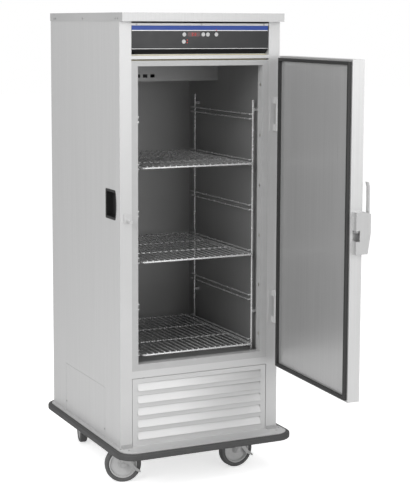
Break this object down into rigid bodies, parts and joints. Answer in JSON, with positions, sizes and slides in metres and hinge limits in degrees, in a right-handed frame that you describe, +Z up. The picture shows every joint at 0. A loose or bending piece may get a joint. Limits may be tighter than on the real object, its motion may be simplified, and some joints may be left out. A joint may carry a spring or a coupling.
{
  "type": "mobile refrigerated cabinet",
  "caption": "Tall single-door refrigerated cabinet on swivel casters, with wire shelves on a rod rack, a hinged insulated door, side grips and a bumper deck, for moving chilled food",
  "frame": {"origin": "on the floor under the centre of the cabinet body", "axes": "+Z up, -Y out of the front, +X to the right seen from the front"},
  "size_m": [0.785, 1.5222, 1.921],
  "materials": {
    "stainless": "brushed",
    "zinc": "satin",
    "breaker_plastic": "satin",
    "rubber": "matte",
    "foam": "matte",
    "screws": "satin",
    "tread": "matte",
    "black_paint": "satin",
    "dark_plastic": "matte",
    "display": "gloss",
    "black_panel": "satin",
    "buttons": "gloss",
    "gasket": "matte",
    "liner_steel": "brushed",
    "aluminium_fins": "satin",
    "plated_wire": "satin"
  },
  "bodies": {
    "cabinet": {"access_panel": "stainless", "back_panel": "zinc", "base_deck": "stainless", "base_frame": "zinc", "breaker_frame": "breaker_plastic", "bumper": "rubber", "cabinet_insulation": "foam", "casing_screws": "screws", "caster_plates": "zinc", "compressor": "black_paint", "control_board": "display", "control_face": "black_panel", "control_housing": "stainless", "evaporator_cover": "liner_steel", "fan_motors": "dark_plastic", "finned_coils": "aluminium_fins", "front_posts": "stainless", "front_rails": "stainless", "hinge_frame_leaves": "stainless", "inner_liner": "liner_steel", "louver_grille": "stainless", "power_inlet": "dark_plastic", "rack_uprights": "plated_wire", "side_grips": "dark_plastic", "side_panels": "stainless", "strike_plate": "stainless", "top_cap": "stainless", "tray_slides": "plated_wire"},
    "door": {"door_skin": "stainless", "door_liner": "stainless", "door_insulation": "foam", "door_gasket": "gasket", "door_hinge_leaves": "stainless", "latch_case": "stainless"},
    "lever": {"latch_lever": "stainless"},
    "bolt": {"latch_bolt": "stainless"},
    "shelf_bottom": {"shelf_bottom": "plated_wire"},
    "shelf_middle": {"shelf_middle": "plated_wire"},
    "shelf_top": {"shelf_top": "plated_wire"},
    "mode_button": {"mode_button": "buttons"},
    "up_button": {"up_button": "buttons"},
    "down_button": {"down_button": "buttons"},
    "defrost_button": {"defrost_button": "buttons"},
    "power_button": {"power_button": "buttons"},
    "condenser_fan": {"condenser_fan": "dark_plastic"},
    "evaporator_fan": {"evaporator_fan": "dark_plastic"},
    "caster_front_left": {"caster_fork_front_left": "zinc"},
    "wheel_front_left": {"caster_hub_front_left": "zinc", "caster_tyre_front_left": "tread"},
    "pedal_front_left": {"brake_pedal_front_left": "zinc"},
    "caster_front_right": {"caster_fork_front_right": "zinc"},
    "wheel_front_right": {"caster_hub_front_right": "zinc", "caster_tyre_front_right": "tread"},
    "pedal_front_right": {"brake_pedal_front_right": "zinc"},
    "caster_rear_left": {"caster_fork_rear_left": "zinc"},
    "wheel_rear_left": {"caster_hub_rear_left": "zinc", "caster_tyre_rear_left": "tread"},
    "caster_rear_right": {"caster_fork_rear_right": "zinc"},
    "wheel_rear_right": {"caster_hub_rear_right": "zinc", "caster_tyre_rear_right": "tread"}
  },
  "joints": [
    {"name": "door_hinge", "type": "hinge", "parent": "cabinet", "child": "door", "pos_m": [0.3375, -0.4145, 1.1], "axis": [0, 0, 1], "range_deg": [-87.2, 92]},
    {"name": "lever_hinge", "type": "hinge", "parent": "door", "child": "lever", "pos_m": [0.3556, -1.07417, 1.171], "axis": [0.0488, 0.9988, 0], "range_deg": [0, 18]},
    {"name": "bolt_slide", "type": "slide", "parent": "door", "child": "bolt", "axis": [0, 0, 1], "range_m": [0, 0.006]},
    {"name": "shelf_bottom_slide", "type": "slide", "parent": "cabinet", "child": "shelf_bottom", "axis": [0, -1, 0], "range_m": [0, 0.5]},
    {"name": "shelf_middle_slide", "type": "slide", "parent": "cabinet", "child": "shelf_middle", "axis": [0, -1, 0], "range_m": [0, 0.5]},
    {"name": "shelf_top_slide", "type": "slide", "parent": "cabinet", "child": "shelf_top", "axis": [0, -1, 0], "range_m": [0, 0.5]},
    {"name": "mode_button_press", "type": "slide", "parent": "cabinet", "child": "mode_button", "axis": [0, 1, 0], "range_m": [0, 0.0015], "stiffness_N_per_m": 400},
    {"name": "up_button_press", "type": "slide", "parent": "cabinet", "child": "up_button", "axis": [0, 1, 0], "range_m": [0, 0.0015], "stiffness_N_per_m": 400},
    {"name": "down_button_press", "type": "slide", "parent": "cabinet", "child": "down_button", "axis": [0, 1, 0], "range_m": [0, 0.0015], "stiffness_N_per_m": 400},
    {"name": "defrost_button_press", "type": "slide", "parent": "cabinet", "child": "defrost_button", "axis": [0, 1, 0], "range_m": [0, 0.0015], "stiffness_N_per_m": 400},
    {"name": "power_button_press", "type": "slide", "parent": "cabinet", "child": "power_button", "axis": [0, 1, 0], "range_m": [0, 0.0015], "stiffness_N_per_m": 400},
    {"name": "condenser_fan_spin", "type": "hinge", "parent": "cabinet", "child": "condenser_fan", "pos_m": [0, -0.2805, 0.305], "axis": [0, 1, 0], "continuous": true},
    {"name": "evaporator_fan_spin", "type": "hinge", "parent": "cabinet", "child": "evaporator_fan", "pos_m": [0, 0.122, 1.653], "axis": [0, 0, 1], "continuous": true},
    {"name": "swivel_front_left", "type": "hinge", "parent": "cabinet", "child": "caster_front_left", "pos_m": [-0.2575, -0.2835, 0.1655], "axis": [0, 0, 1], "continuous": true},
    {"name": "axle_front_left", "type": "hinge", "parent": "caster_front_left", "child": "wheel_front_left", "pos_m": [-0.29575, -0.27181, 0.075], "axis": [-0.2924, -0.9563, 0], "continuous": true},
    {"name": "pedal_hinge_front_left", "type": "hinge", "parent": "caster_front_left", "child": "pedal_front_left", "pos_m": [-0.29011, -0.30124, 0.105], "axis": [0.2924, 0.9563, 0], "range_deg": [0, 9]},
    {"name": "swivel_front_right", "type": "hinge", "parent": "cabinet", "child": "caster_front_right", "pos_m": [0.2575, -0.2835, 0.1655], "axis": [0, 0, 1], "continuous": true},
    {"name": "axle_front_right", "type": "hinge", "parent": "caster_front_right", "child": "wheel_front_right", "pos_m": [0.2176, -0.28629, 0.075], "axis": [0.0698, -0.9976, 0], "continuous": true},
    {"name": "pedal_hinge_front_right", "type": "hinge", "parent": "caster_front_right", "child": "pedal_front_right", "pos_m": [0.23341, -0.31175, 0.105], "axis": [-0.0698, 0.9976, 0], "range_deg": [0, 9]},
    {"name": "swivel_rear_left", "type": "hinge", "parent": "cabinet", "child": "caster_rear_left", "pos_m": [-0.2575, 0.2835, 0.1655], "axis": [0, 0, 1], "continuous": true},
    {"name": "axle_rear_left", "type": "hinge", "parent": "caster_rear_left", "child": "wheel_rear_left", "pos_m": [-0.24782, 0.32231, 0.075], "axis": [-0.9703, 0.2419, 0], "continuous": true},
    {"name": "swivel_rear_right", "type": "hinge", "parent": "cabinet", "child": "caster_rear_right", "pos_m": [0.2575, 0.2835, 0.1655], "axis": [0, 0, 1], "continuous": true},
    {"name": "axle_rear_right", "type": "hinge", "parent": "caster_rear_right", "child": "wheel_rear_right", "pos_m": [0.23073, 0.31323, 0.075], "axis": [-0.7431, -0.6691, 0], "continuous": true}
  ],
  "couplings": [
    {"joint": "bolt_slide", "follows": "lever_hinge", "m_per_rad": 0.019099}
  ]
}
